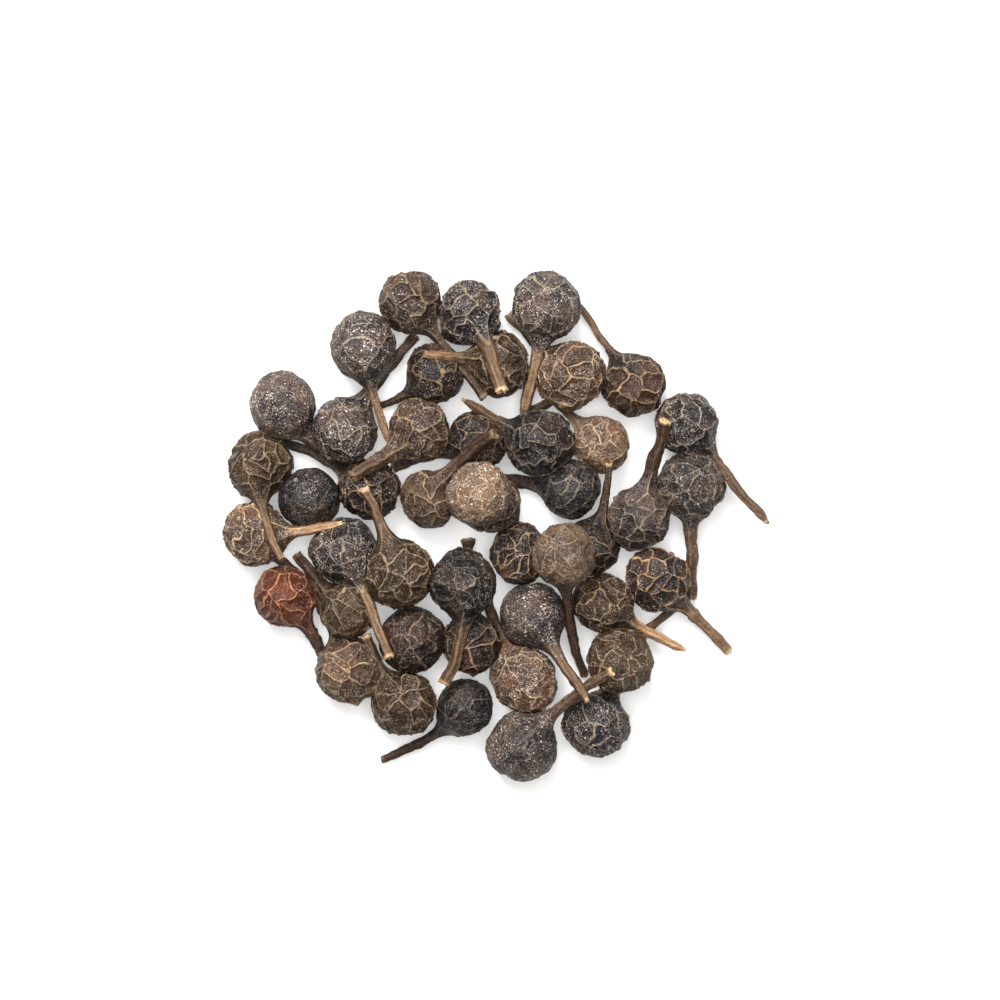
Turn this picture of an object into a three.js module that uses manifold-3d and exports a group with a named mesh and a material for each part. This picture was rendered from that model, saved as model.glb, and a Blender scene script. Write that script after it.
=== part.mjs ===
// A heap of cubeb berries: a dried spice, each one a wrinkled round berry about 5 mm across
// with its stalk still on it, poured out one or two berries deep on a flat surface.
// Berries that touch are joined where they meet, and a few small plugs hold the others, so
// the heap is one solid. Millimetres, +Z up. The origin is at the bottom centre of the heap.

import * as THREE from "three";
import { mergeVertices } from "three/addons/utils/BufferGeometryUtils.js";
import Module from "manifold-3d";

const wasm = await Module();
wasm.setup();

// ---- driving dimensions ---------------------------------------------------------------

const PRESSED = 0.2; // how deep two things that touch are pressed into each other
const BODY_GIVE = 0.1; // how much deeper two berries sit side by side than one on the other
const STALK_GIVE = 0.4; // how much deeper a stalk sits at a berry's flank than on its crown
const FLAT_SPOT = 0.12; // height of the flat that the surface leaves under a berry
const STUB = 0.5; // how far a stalk that snapped off short still stands out
const NECK_WIDTH = 0.3; // extra radius of the stalk at the berry, as a share of its radius
const NECK_LENGTH = 0.7; // length over which that neck thins to the stalk
const TIP_FLARE = 1.15; // the cut end of a stalk is a little thicker than the stalk
const WRINKLE = 0.035; // how far a berry's surface strays in and out, as a share of its radius
const WRINKLED_TO = 0.9; // where that ends towards the stalk, as a share of the radius

const SIDES = 10; // flat sides around a berry and its stalk
const BODY_RINGS = [30, 58, 86, 114, 139]; // rings on the body, degrees from its apex
const NECK_RINGS = [0.35, 1.3]; // rings on the neck, distances from the body
const SHORT_NECK = [0.2, 0.55]; // the same on a short stub, as shares of its length
const ROUTE_STEPS = 24; // points tried along a stalk when it is laid down
const LIFT_STEP = 0.1; // step between the heights tried for a stalk's tip
const LIFT_TRIES = 60;
const LIFT_COST = 0.5; // how much a raised tip counts against a stalk that arches
const PLUG_REACH = 0.9; // the widest gap that a plug closes
const PLUG_SIZE = 0.45; // radius of a plug, beyond half the gap that it closes
const FIRM_TOUCH = 0.02; // cubic millimetres that two berries share where they hang together
const SLIVER = 0.02; // edges shorter than this, left where berries meet, are closed up

// Middle of the heap in the frame of the list below.
const MIDDLE = { x: 0.14, y: 0.05 };

// Stands for the surface when the undersides are trimmed flat.
const SURFACE_BLOCK = { across: 100, deep: 20 };

// One row for each berry, from the lowest to the topmost: where it lies, how thick it is,
// where the tip of its stalk points, how far the stalk bows to its left on the way there,
// and how thick the stalk is. A tip inside the berry's own outline is a snapped stub. Where a
// stalk sticks up, its tip is held at least as high as the row says.
const HEAP = [
  { name: "b42", x: -11.8, y: -11.5, across: 5.0, tip: [-17.9, -2.3], bow: -1.0, stalk: 0.85 },
  { name: "b43", x: -16.9, y: -5.6, across: 4.6, tip: [-13.8, -10.5], bow: 0.2, stalk: 0.9 },
  { name: "b44", x: -11.8, y: -6.7, across: 4.3, tip: [-15.9, -2.3], bow: 0.2, stalk: 0.95 },
  { name: "b40", x: -7.4, y: -14.2, across: 5.0, tip: [-10.4, -8.7], held: 3.0, bow: 0.3, stalk: 0.85 },
  { name: "b39", x: -6.7, y: -9.1, across: 5.0, tip: [-7.3, -7.6], bow: 0, stalk: 0.8 },
  { name: "b11", x: -10.2, y: 3.1, across: 4.7, tip: [-18.1, 7.2], bow: -0.4, stalk: 0.7 },
  { name: "b13", x: -15.0, y: 2.3, across: 4.7, tip: [-13.9, 0.6], bow: 0, stalk: 0.8 },
  { name: "b45", x: -12.2, y: -2.0, across: 5.3, tip: [-8.5, -10.4], held: 4.8, bow: 0.2, stalk: 0.8 },
  { name: "b12", x: -19.3, y: -0.5, across: 5.0, tip: [-12.3, 0.4], held: 3.9, bow: -0.3, stalk: 0.75 },
  { name: "b10", x: -18.8, y: 5.0, across: 5.0, tip: [-17.0, -2.6], bow: -0.6, stalk: 0.65 },
  { name: "b05", x: -4.9, y: 12.3, across: 4.5, tip: [-9.3, 9.8], bow: 0.3, stalk: 0.6 },
  { name: "b41", x: -2.5, y: -14.5, across: 4.4, tip: [-9.2, -18.6], bow: 0.6, stalk: 0.7 },
  { name: "b38", x: -1.9, y: -9.3, across: 4.6, tip: [-2.2, -1.0], bow: 0, stalk: 0.8 },
  { name: "b35", x: 2.3, y: -12.2, across: 5.3, tip: [-0.7, -5.8], bow: 0.2, stalk: 0.8 },
  { name: "b15", x: -1.5, y: 6.8, across: 4.6, tip: [-8.3, 4.8], bow: -0.2, stalk: 0.9 },
  { name: "b14", x: -5.3, y: 2.2, across: 4.4, tip: [-0.1, 7.5], bow: 0.3, stalk: 1.1 },
  { name: "b46", x: 5.2, y: 10.5, across: 1.0, tip: [2.1, 8.9], bow: 0, stalk: 0.7 },
  { name: "b19", x: 8.4, y: 6.6, across: 4.3, tip: [3.9, 11.0], bow: 0, stalk: 0.65 },
  { name: "b18", x: 11.1, y: 11.4, across: 4.8, tip: [6.3, 18.3], bow: 0, stalk: 0.6 },
  { name: "b32", x: 8.0, y: -15.9, across: 5.0, tip: [10.3, -10.8], bow: 0, stalk: 1.0 },
  { name: "b31", x: 9.9, y: -10.8, across: 5.0, tip: [14.3, -6.7], bow: 0.3, stalk: 0.6 },
  { name: "b33", x: 2.1, y: -17.6, across: 5.4, tip: [9.3, -11.5], bow: 0.5, stalk: 0.8 },
  { name: "b34", x: 3.0, y: -7.1, across: 5.1, tip: [7.4, -13.8], bow: -0.1, stalk: 0.8 },
  { name: "b28", x: 15.6, y: 3.3, across: 5.0, tip: [15.8, -5.8], bow: 0, stalk: 0.9 },
  { name: "b25", x: 7.7, y: -1.6, across: 4.3, tip: [9.0, 5.1], held: 3.7, bow: -0.3, stalk: 0.6 },
  { name: "b20", x: 6.0, y: 3.0, across: 4.6, tip: [0.5, 3.9], bow: 0, stalk: 0.85 },
  { name: "b37", x: -7.7, y: -3.8, across: 5.3, tip: [-10.4, 3.1], bow: -0.1, stalk: 0.8 },
  { name: "b36", x: -2.6, y: -4.5, across: 5.3, tip: [-4.1, -12.5], bow: 0.6, stalk: 0.9 },
  { name: "b08", x: -17.0, y: 9.7, across: 5.2, tip: [-13.6, 6.0], bow: -0.2, stalk: 1.0 },
  { name: "b07", x: -12.1, y: 7.7, across: 5.1, tip: [-6.5, 15.4], bow: 0.3, stalk: 0.9 },
  { name: "b01", x: -6.9, y: 18.0, across: 4.8, tip: [-0.9, 10.4], held: 3.2, bow: 0, stalk: 0.7 },
  { name: "b04", x: 0.1, y: 13.0, across: 5.0, tip: [-5.7, 13.8], bow: -0.1, stalk: 0.7 },
  { name: "b02", x: -2.1, y: 17.1, across: 4.8, tip: [0.5, 10.8], bow: 0.3, stalk: 0.95 },
  { name: "b06", x: -10.6, y: 14.5, across: 5.3, tip: [-8.5, 6.9], bow: -0.3, stalk: 0.65 },
  { name: "b09", x: -6.1, y: 7.8, across: 4.7, tip: [-11.5, 4.0], bow: 0.2, stalk: 1.1 },
  { name: "b16", x: 3.5, y: 6.7, across: 5.1, tip: [-2.7, 10.2], held: 3.2, bow: 0.1, stalk: 0.75 },
  { name: "b17", x: 6.1, y: 12.1, across: 5.2, tip: [1.1, 17.1], bow: 0.2, stalk: 0.75 },
  { name: "b03", x: 4.0, y: 17.6, across: 5.3, tip: [2.1, 8.9], bow: 0.2, stalk: 0.95 },
  { name: "b30", x: 8.5, y: -6.1, across: 4.6, tip: [15.2, -9.9], bow: -0.2, stalk: 0.7 },
  { name: "b23", x: 1.9, y: -2.1, across: 4.6, tip: [1.3, -3.6], bow: 0, stalk: 0.8 },
  { name: "b22", x: -0.5, y: 1.7, across: 4.3, tip: [1.5, 0.3], bow: 1.4, stalk: 0.6 },
  { name: "b24", x: 5.5, y: -2.3, across: 5.0, tip: [7.05, -12.0], bow: -0.4, stalk: 0.7 },
  { name: "b29", x: 13.0, y: -4.3, across: 4.9, tip: [18.9, -9.9], bow: 0, stalk: 0.8 },
  { name: "b27", x: 15.3, y: 8.2, across: 4.8, tip: [21.7, 0.3], held: 2.5, bow: 0, stalk: 0.75 },
  { name: "b26", x: 11.4, y: 0.7, across: 5.0, tip: [13.5, 8.5], held: 4.4, bow: 0, stalk: 0.95 },
  { name: "b21", x: -1.4, y: 2.6, across: 5.0, tip: [-2.1, 1.4], bow: 0, stalk: 0.8 },
];

// ---- where the berries come to rest ---------------------------------------------------

// Point on the curve from a berry's middle, past its bend, to the tip of its stalk.
function onCurve(from, bend, to, t) {
  return (1 - t) * (1 - t) * from + 2 * t * (1 - t) * bend + t * t * to;
}

// Height at which a ball at (x, y) just rests on another one, or -Infinity if it misses it.
function restingHeight(ball, x, y, radius, give) {
  const aside = Math.hypot(x - ball.x, y - ball.y);
  const flank = Math.min(1, aside / Math.max(ball.radius, radius));
  const reach = ball.radius + radius - PRESSED - give * flank * flank;
  return aside < reach ? ball.z + Math.sqrt(reach * reach - aside * aside) : -Infinity;
}

// The straightest low curve that stays above what each of its points needs.
function layStalk(startHeight, route) {
  const tipNeed = route.at(-1).need;
  let best = { cost: Infinity };
  for (let tries = 0; tries < LIFT_TRIES; tries++) {
    const tip = tipNeed + LIFT_STEP * tries;
    const straight = (startHeight + tip) / 2;
    let bend = straight;
    for (const { t, need, inside } of route.slice(0, -1)) {
      if (inside) continue;
      bend = Math.max(bend, (need - (1 - t) * (1 - t) * startHeight - t * t * tip) / (2 * t * (1 - t)));
    }
    const cost = (bend - straight) ** 2 + LIFT_COST * (tip - tipNeed);
    if (cost < best.cost) best = { cost, bend, tip };
  }
  return best;
}

// The point of a laid stalk that cuts deepest into a berry, if any does.
function deepestCut(route, bodies, startHeight, laid, thickness) {
  let worst = null;
  for (const point of route) {
    if (point.inside) continue;
    const z = onCurve(startHeight, laid.bend, laid.tip, point.t);
    for (const body of bodies) {
      const clear = restingHeight(body, point.x, point.y, thickness / 2, STALK_GIVE);
      const below = 2 * body.z - clear;
      if (z < clear && z > below && (!worst || clear - z > worst.depth)) {
        worst = { point, height: clear, depth: clear - z };
      }
    }
  }
  return worst;
}

// Puts down one berry after the other. Each sinks until it meets the surface or an earlier
// berry, and its stalk is then laid over what it crosses.
function settle(heap) {
  const bodies = [];
  const stalks = [];
  for (const row of heap) {
    const radius = row.across / 2;
    const x = row.x - MIDDLE.x;
    const y = row.y - MIDDLE.y;
    const tip = { x: row.tip[0] - MIDDLE.x, y: row.tip[1] - MIDDLE.y };
    let z = radius - FLAT_SPOT;
    for (const body of bodies) z = Math.max(z, restingHeight(body, x, y, radius, BODY_GIVE));
    for (const ball of stalks) z = Math.max(z, restingHeight(ball, x, y, radius, STALK_GIVE));

    // A curve passes half as far from the straight line as the bend that it heads for.
    const span = Math.hypot(tip.x - x, tip.y - y);
    const bend = {
      x: (x + tip.x) / 2 - (2 * row.bow * (tip.y - y)) / span,
      y: (y + tip.y) / 2 + (2 * row.bow * (tip.x - x)) / span,
    };
    const berry = { name: row.name, radius, thickness: row.stalk, middle: { x, y, z }, bend, tip };
    bodies.push({ x, y, z, radius, berry });

    if (span < radius) {
      tip.z = Math.max(row.stalk / 2, z - Math.sqrt((radius + STUB) ** 2 - span * span));
      bend.z = (z + tip.z) / 2;
      continue;
    }
    const route = [];
    for (let step = 1; step <= ROUTE_STEPS; step++) {
      const t = step / ROUTE_STEPS;
      const point = { t, x: onCurve(x, bend.x, tip.x, t), y: onCurve(y, bend.y, tip.y, t) };
      point.inside = Math.hypot(point.x - x, point.y - y) < radius;
      point.need = row.stalk / 2;
      for (const ball of stalks) {
        point.need = Math.max(point.need, restingHeight(ball, point.x, point.y, row.stalk / 2, 0));
      }
      route.push(point);
    }
    route.at(-1).need = Math.max(route.at(-1).need, row.held ?? 0);
    let laid = layStalk(z, route);
    for (let turn = 0; turn < ROUTE_STEPS; turn++) {
      const cut = deepestCut(route, bodies.slice(0, -1), z, laid, row.stalk);
      if (!cut) break;
      cut.point.need = cut.height;
      laid = layStalk(z, route);
    }
    bend.z = laid.bend;
    tip.z = laid.tip;
    for (const point of route) {
      if (point.inside) continue;
      const height = onCurve(z, bend.z, tip.z, point.t);
      stalks.push({ x: point.x, y: point.y, z: height, radius: row.stalk / 2, berry });
    }
  }
  return { bodies, stalks };
}

// ---- shape of one berry ---------------------------------------------------------------

// Repeatable draws between -1 and 1.
function draws(seed) {
  let state = seed;
  return () => {
    state = (Math.imul(state, 1664525) + 1013904223) >>> 0;
    return state / 2 ** 31 - 1;
  };
}

// The curve that a berry is turned around: straight through its body, then along its stalk.
function axisOf({ middle, bend, tip, radius }) {
  const start = new THREE.Vector3(middle.x, middle.y, middle.z);
  const curve = new THREE.QuadraticBezierCurve3(
    start,
    new THREE.Vector3(bend.x, bend.y, bend.z),
    new THREE.Vector3(tip.x, tip.y, tip.z),
  );
  const length = curve.getLength();
  return {
    length,
    at(distance) {
      const share = THREE.MathUtils.clamp(distance / length, 0, 1);
      const heading = curve.getTangentAt(share);
      const point = curve.getPointAt(share);
      if (distance < 0) point.addScaledVector(heading, distance);
      return { point, heading };
    },
  };
}

// Half of the berry's outline, from its apex to the tip of its stalk.
function outlineOf({ radius, thickness }, length) {
  const points = [new THREE.Vector2(0, -radius)];
  for (const degrees of BODY_RINGS) {
    const angle = THREE.MathUtils.degToRad(degrees);
    points.push(new THREE.Vector2(radius * Math.sin(angle), -radius * Math.cos(angle)));
  }
  const free = length - radius;
  const neck = NECK_RINGS.map((beyond, i) => Math.min(beyond, SHORT_NECK[i] * free));
  for (const beyond of [...neck, (neck.at(-1) + free) / 2]) {
    const swell = NECK_WIDTH * radius * Math.exp(-beyond / NECK_LENGTH);
    points.push(new THREE.Vector2(thickness / 2 + swell, radius + beyond));
  }
  points.push(new THREE.Vector2((thickness / 2) * TIP_FLARE, length), new THREE.Vector2(0, length));
  return points;
}

// A closed geometry whose faces share their corners.
function bare(geometry) {
  geometry.deleteAttribute("normal");
  geometry.deleteAttribute("uv");
  return mergeVertices(geometry);
}

// A berry turned like a bead, each ring then carried to its place along the axis.
function berryGeometry(berry, seed) {
  const axis = axisOf(berry);
  const turned = bare(new THREE.LatheGeometry(outlineOf(berry, axis.length), SIDES));
  const places = turned.getAttribute("position");
  const draw = draws(seed);
  for (let i = 0; i < places.count; i++) {
    const along = places.getY(i);
    const stray = along < WRINKLED_TO * berry.radius ? 1 + WRINKLE * draw() : 1;
    const { point, heading } = axis.at(along);
    const side = new THREE.Vector3().crossVectors(heading, new THREE.Vector3(0, 0, 1)).normalize();
    const up = new THREE.Vector3().crossVectors(side, heading);
    point.addScaledVector(side, places.getX(i) * stray).addScaledVector(up, places.getZ(i) * stray);
    places.setXYZ(i, point.x, point.y, point.z);
  }
  return turned;
}

// ---- joining --------------------------------------------------------------------------

// A closed mesh as a solid. Triangles that have shrunk to a line at the poles are left out.
function solidFrom(geometry) {
  const index = geometry.getIndex().array;
  const corners = [];
  for (let i = 0; i < index.length; i += 3) {
    const [a, b, c] = [index[i], index[i + 1], index[i + 2]];
    if (a !== b && b !== c && c !== a) corners.push(a, b, c);
  }
  return new wasm.Manifold(
    new wasm.Mesh({
      numProp: 3,
      vertProperties: Float32Array.from(geometry.getAttribute("position").array),
      triVerts: Uint32Array.from(corners),
    }),
  );
}

// A small plug that closes the gap between two neighbours.
function plugBetween({ a, b, gap }) {
  const from = new THREE.Vector3(a.x, a.y, a.z);
  const to = new THREE.Vector3(b.x, b.y, b.z);
  const { x, y, z } = to.sub(from).setLength(a.radius + gap / 2).add(from);
  return solidFrom(bare(new THREE.IcosahedronGeometry(PLUG_SIZE + gap / 2).translate(x, y, z)));
}

// Pairs of neighbours with the narrowest gap between them, narrow gaps first.
function neighboursOf({ bodies, stalks }) {
  const balls = [...bodies, ...stalks];
  const pairs = new Map();
  balls.forEach((a, i) => {
    for (const b of balls.slice(i + 1)) {
      if (a.berry === b.berry) continue;
      const gap = Math.hypot(a.x - b.x, a.y - b.y, a.z - b.z) - a.radius - b.radius;
      const key = `${a.berry.name} ${b.berry.name}`;
      if (gap < Math.min(PLUG_REACH, pairs.get(key)?.gap ?? Infinity)) pairs.set(key, { a, b, gap });
    }
  });
  return [...pairs.values()].sort((p, q) => p.gap - q.gap);
}

// The fewest plugs that join all berries: a gap between two berries that already hang
// together is left open.
function plugsFor(settled, solids) {
  const groupOf = new Map(settled.bodies.map(({ berry }) => [berry, berry]));
  const join = ({ a, b }) => {
    const [from, to] = [groupOf.get(a.berry), groupOf.get(b.berry)];
    for (const [berry, group] of groupOf) if (group === from) groupOf.set(berry, to);
    return from !== to;
  };
  const pairs = neighboursOf(settled);
  const touching = ({ a, b }) => solids.get(a.berry).intersect(solids.get(b.berry)).volume() > FIRM_TOUCH;
  pairs.filter(touching).forEach(join);
  return pairs.filter(join).map(plugBetween);
}

// The whole heap, with what the surface flattens cut away.
function heapSolid() {
  const settled = settle(HEAP);
  const solids = new Map();
  settled.bodies.forEach(({ berry }, i) => solids.set(berry, solidFrom(berryGeometry(berry, i + 1))));
  const joined = [...solids.values(), ...plugsFor(settled, solids)].reduce((sum, solid) => sum.add(solid));
  const { across, deep } = SURFACE_BLOCK;
  const surface = solidFrom(bare(new THREE.BoxGeometry(across, across, deep).translate(0, 0, -deep / 2)));
  const trimmed = joined.subtract(surface).simplify(SLIVER);
  return trimmed.decompose().reduce((a, b) => (a.volume() > b.volume() ? a : b));
}

function geometryFrom(solid) {
  const { vertProperties, triVerts } = solid.getMesh();
  const geometry = new THREE.BufferGeometry();
  geometry.setAttribute("position", new THREE.BufferAttribute(Float32Array.from(vertProperties), 3));
  geometry.setIndex(new THREE.BufferAttribute(Uint32Array.from(triVerts), 1));
  geometry.computeVertexNormals();
  return geometry;
}

// ---- the model ------------------------------------------------------------------------

const driedBerry = new THREE.MeshStandardMaterial({ color: "#4f4238", roughness: 0.85, metalness: 0 });

const heap = new THREE.Mesh(geometryFrom(heapSolid()), driedBerry);
heap.name = "cubeb_heap";

const group = new THREE.Group();
group.add(heap);

export default group;
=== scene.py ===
# %% [markdown]
# # A heap of cubeb berries
#
# Cubebs are a dried spice: wrinkled round berries about 5 mm across that keep their stalks,
# which is why they are also called tailed pepper. A small handful lies loose on a white
# surface, one berry deep in most places, and is seen straight from above.
#
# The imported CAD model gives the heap's place and size as one plain solid. Here each berry is
# made again with its veins, wrinkles and stalk, and the plain solid is hidden behind them.

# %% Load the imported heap
import math
from collections import namedtuple
from functools import partial

import bpy
import numpy as np
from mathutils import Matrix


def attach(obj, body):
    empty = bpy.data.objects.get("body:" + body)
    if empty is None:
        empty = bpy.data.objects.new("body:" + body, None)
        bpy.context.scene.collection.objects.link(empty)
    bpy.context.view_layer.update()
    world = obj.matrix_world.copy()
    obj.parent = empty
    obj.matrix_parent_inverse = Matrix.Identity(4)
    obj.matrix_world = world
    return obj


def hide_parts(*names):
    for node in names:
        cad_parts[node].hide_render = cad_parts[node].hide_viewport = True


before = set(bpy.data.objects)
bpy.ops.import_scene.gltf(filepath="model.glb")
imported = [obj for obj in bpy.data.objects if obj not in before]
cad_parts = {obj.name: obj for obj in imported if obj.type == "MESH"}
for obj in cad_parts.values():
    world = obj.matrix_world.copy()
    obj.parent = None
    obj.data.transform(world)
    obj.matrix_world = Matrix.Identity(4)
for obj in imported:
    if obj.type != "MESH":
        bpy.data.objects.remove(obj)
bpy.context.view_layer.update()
MM = 0.001  # Blender works in metres, the lists below are in millimetres
print("packed nodes:", sorted(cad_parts))

# %% [markdown]
# ## Where the berries lie
#
# In a heap dropped by a physics simulation no berry would lie where the photo shows it. So
# each berry is a row in a list, from the lowest to the topmost: its place, its thickness, where
# the tip of its stalk points, how high that tip is held where the stalk sticks up, how far the
# stalk bows to the left on its way there, and how thick the stalk is.
# The last columns say how it looks: which kind of skin it has, from 0 to 1 how strong its
# veins are, how dusty it is and how many painted glints it carries, how broad its neck is where
# the stalk begins, how pale the wood of the stalk is, and how the stalk ends if it wasn't
# snapped off. Two short lists below it name the berries that are paler or darker than others of
# their kind.

# %% The list of berries
COLUMNS = "name x y across tip_x tip_y held bow stalk skin veins dust neck wood end"
Row = namedtuple("Row", COLUMNS, defaults=["snapped"])
HEAP = [
    Row("b42", -11.8, -11.5, 5.0, -17.9, -2.3, 0.0, -1.0, 0.85, "warm", 0.9, 0.3, 0.5, 0.25),
    Row("b43", -16.9, -5.6, 4.6, -13.8, -10.5, 0.0, 0.2, 0.9, "russet", 1.0, 0.0, 0.5, 0.1),
    Row("b44", -11.8, -6.7, 4.3, -15.9, -2.3, 0.0, 0.2, 0.95, "olive", 0.6, 0.1, 0.6, 0.15),
    Row("b40", -7.4, -14.2, 5.0, -10.4, -8.7, 3.0, 0.3, 0.85, "olive", 0.9, 0.2, 0.6, 0.35, "cut"),
    Row("b39", -6.7, -9.1, 5.0, -7.3, -7.6, 0.0, 0.0, 0.8, "dark", 0.5, 0.3, 0.3, 0.3),
    Row("b11", -10.2, 3.1, 4.7, -18.1, 7.2, 0.0, -0.4, 0.7, "dark", 0.9, 0.5, 0.5, 0.2),
    Row("b13", -15.0, 2.3, 4.7, -13.9, 0.6, 0.0, 0.0, 0.8, "blue", 0.1, 0.2, 0.3, 0.2),
    Row("b45", -12.2, -2.0, 5.3, -8.5, -10.4, 4.8, 0.2, 0.8, "blue", 0.6, 0.6, 0.5, 0.7, "cut"),
    Row("b12", -19.3, -0.5, 5.0, -12.3, 0.4, 3.9, -0.3, 0.75, "warm", 1.0, 0.4, 0.5, 0.85, "pointed"),
    Row("b10", -18.8, 5.0, 5.0, -17.0, -2.6, 0.0, -0.6, 0.65, "olive", 1.0, 0.1, 0.9, 0.75),
    Row("b05", -4.9, 12.3, 4.5, -9.3, 9.8, 0.0, 0.3, 0.6, "dark", 0.6, 0.4, 0.6, 0.35),
    Row("b41", -2.5, -14.5, 4.4, -9.2, -18.6, 0.0, 0.6, 0.7, "blue", 0.4, 0.2, 0.6, 0.25),
    Row("b38", -1.9, -9.3, 4.6, -2.2, -1.0, 0.0, 0.0, 0.8, "dark", 0.9, 0.2, 0.5, 0.3, "knob"),
    Row("b35", 2.3, -12.2, 5.3, -0.7, -5.8, 0.0, 0.2, 0.8, "warm", 0.8, 0.7, 0.6, 0.15),
    Row("b15", -1.5, 6.8, 4.6, -8.3, 4.8, 0.0, -0.2, 0.9, "dark", 0.6, 0.3, 1.0, 0.3),
    Row("b14", -5.3, 2.2, 4.4, -0.1, 7.5, 0.0, 0.3, 1.1, "warm", 0.6, 0.2, 0.9, 0.2),
    Row("b46", 5.2, 10.5, 1.0, 2.1, 8.9, 0.0, 0.0, 0.7, "olive", 0.5, 0.0, 0.0, 0.3),
    Row("b19", 8.4, 6.6, 4.3, 3.9, 11.0, 0.0, 0.0, 0.65, "pale", 0.7, 0.1, 0.5, 0.4),
    Row("b18", 11.1, 11.4, 4.8, 6.3, 18.3, 0.0, 0.0, 0.6, "dark", 1.0, 0.1, 0.4, 0.45),
    Row("b32", 8.0, -15.9, 5.0, 10.3, -10.8, 0.0, 0.0, 1.0, "blue", 0.7, 0.5, 0.9, 0.4),
    Row("b31", 9.9, -10.8, 5.0, 14.3, -6.7, 0.0, 0.3, 0.6, "olive", 0.7, 0.1, 0.5, 0.35),
    Row("b33", 2.1, -17.6, 5.4, 9.3, -11.5, 0.0, 0.5, 0.8, "slate", 0.3, 0.9, 1.0, 0.45, "cut"),
    Row("b34", 3.0, -7.1, 5.1, 7.4, -13.8, 0.0, -0.1, 0.8, "slate", 0.1, 0.9, 0.8, 0.55, "pointed"),
    Row("b28", 15.6, 3.3, 5.0, 15.8, -5.8, 0.0, 0.0, 0.9, "slate", 0.8, 0.5, 0.6, 0.5),
    Row("b25", 7.7, -1.6, 4.3, 9.0, 5.1, 3.7, -0.3, 0.6, "dark", 0.6, 0.1, 0.7, 0.35, "cut"),
    Row("b20", 6.0, 3.0, 4.6, 0.5, 3.9, 0.0, 0.0, 0.85, "blue", 0.4, 0.1, 0.7, 0.15),
    Row("b37", -7.7, -3.8, 5.3, -10.4, 3.1, 0.0, -0.1, 0.8, "olive", 0.8, 0.2, 0.9, 0.6, "cut"),
    Row("b36", -2.6, -4.5, 5.3, -4.1, -12.5, 0.0, 0.6, 0.9, "blue", 0.7, 0.4, 0.6, 0.7, "cut"),
    Row("b08", -17.0, 9.7, 5.2, -13.6, 6.0, 0.0, -0.2, 1.0, "slate", 0.2, 0.7, 0.4, 0.2),
    Row("b07", -12.1, 7.7, 5.1, -6.5, 15.4, 0.0, 0.3, 0.9, "slate", 0.8, 0.9, 0.7, 0.3),
    Row("b01", -6.9, 18.0, 4.8, -0.9, 10.4, 3.2, 0.0, 0.7, "warm", 0.8, 0.8, 0.6, 0.35, "knob"),
    Row("b04", 0.1, 13.0, 5.0, -5.7, 13.8, 0.0, -0.1, 0.7, "olive", 0.9, 0.2, 0.4, 0.8),
    Row("b02", -2.1, 17.1, 4.8, 0.5, 10.8, 0.0, 0.3, 0.95, "blue", 1.0, 0.4, 0.8, 0.6, "cut"),
    Row("b06", -10.6, 14.5, 5.3, -8.5, 6.9, 0.0, -0.3, 0.65, "slate", 0.5, 0.8, 0.7, 0.65),
    Row("b09", -6.1, 7.8, 4.7, -11.5, 4.0, 0.0, 0.2, 1.1, "warm", 0.9, 0.4, 0.8, 0.45),
    Row("b16", 3.5, 6.7, 5.1, -2.7, 10.2, 3.2, 0.1, 0.75, "blue", 1.0, 0.3, 0.5, 0.6, "pointed"),
    Row("b17", 6.1, 12.1, 5.2, 1.1, 17.1, 0.0, 0.2, 0.75, "warm", 0.9, 0.2, 0.4, 0.35),
    Row("b03", 4.0, 17.6, 5.3, 2.1, 8.9, 0.0, 0.2, 0.95, "slate", 0.7, 0.8, 0.6, 0.8, "pointed"),
    Row("b30", 8.5, -6.1, 4.6, 15.2, -9.9, 0.0, -0.2, 0.7, "olive", 0.8, 0.2, 0.6, 1.0, "pointed"),
    Row("b23", 1.9, -2.1, 4.6, 1.3, -3.6, 0.0, 0.0, 0.8, "dark", 0.7, 0.2, 0.3, 0.3),
    Row("b22", -0.5, 1.7, 4.3, 1.5, 0.3, 0.0, 1.4, 0.6, "dark", 0.6, 0.4, 0.3, 0.3, "cut"),
    Row("b24", 5.5, -2.3, 5.0, 7.05, -12.0, 0.0, -0.4, 0.7, "pale", 0.5, 0.3, 0.5, 0.15),
    Row("b29", 13.0, -4.3, 4.9, 18.9, -9.9, 0.0, 0.0, 0.8, "dark", 1.0, 0.2, 0.6, 0.65, "cut"),
    Row("b27", 15.3, 8.2, 4.8, 21.7, 0.3, 2.5, 0.0, 0.75, "blue", 1.0, 0.4, 0.6, 0.5, "pointed"),
    Row("b26", 11.4, 0.7, 5.0, 13.5, 8.5, 4.4, 0.0, 0.95, "slate", 0.7, 0.1, 0.8, 0.2, "cut"),
    Row("b21", -1.4, 2.6, 5.0, -2.1, 1.4, 0.0, 0.0, 0.8, "pale", 0.4, 1.0, 0.3, 0.3),
]
PALER = {"b06", "b08", "b12", "b17", "b19", "b21", "b22", "b23", "b35"}
DARKER = {"b01", "b05", "b11", "b15", "b16", "b25", "b36", "b38", "b39", "b41"}
MIDDLE = np.array([0.14, 0.05])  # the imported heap's origin, in the frame of this list
print(len(HEAP), "berries;", sum(row.skin == "slate" for row in HEAP), "of them slate grey")

# %% [markdown]
# ## Letting them settle
#
# The list says nothing of heights, because from above they can't be seen. A simple rule finds
# them: each berry in turn sinks until it meets the surface or something that lies there
# already. Things that touch are pressed together a little, and a stalk may slip a bit further
# down a berry's flank, as it does in a real heap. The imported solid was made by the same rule,
# so the berries made here lie exactly in it.

# %% When one ball rests on another
PRESSED = 0.2  # how deep two things that touch are pressed into each other, in mm
BODY_GIVE = 0.1  # how much deeper two berries sit side by side
STALK_GIVE = 0.4  # how much deeper a stalk sits at a berry's flank
FLAT_SPOT = 0.12  # height of the flat that the surface leaves under a berry
STUB = 0.5  # how far a stalk that snapped off short still stands out


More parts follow.
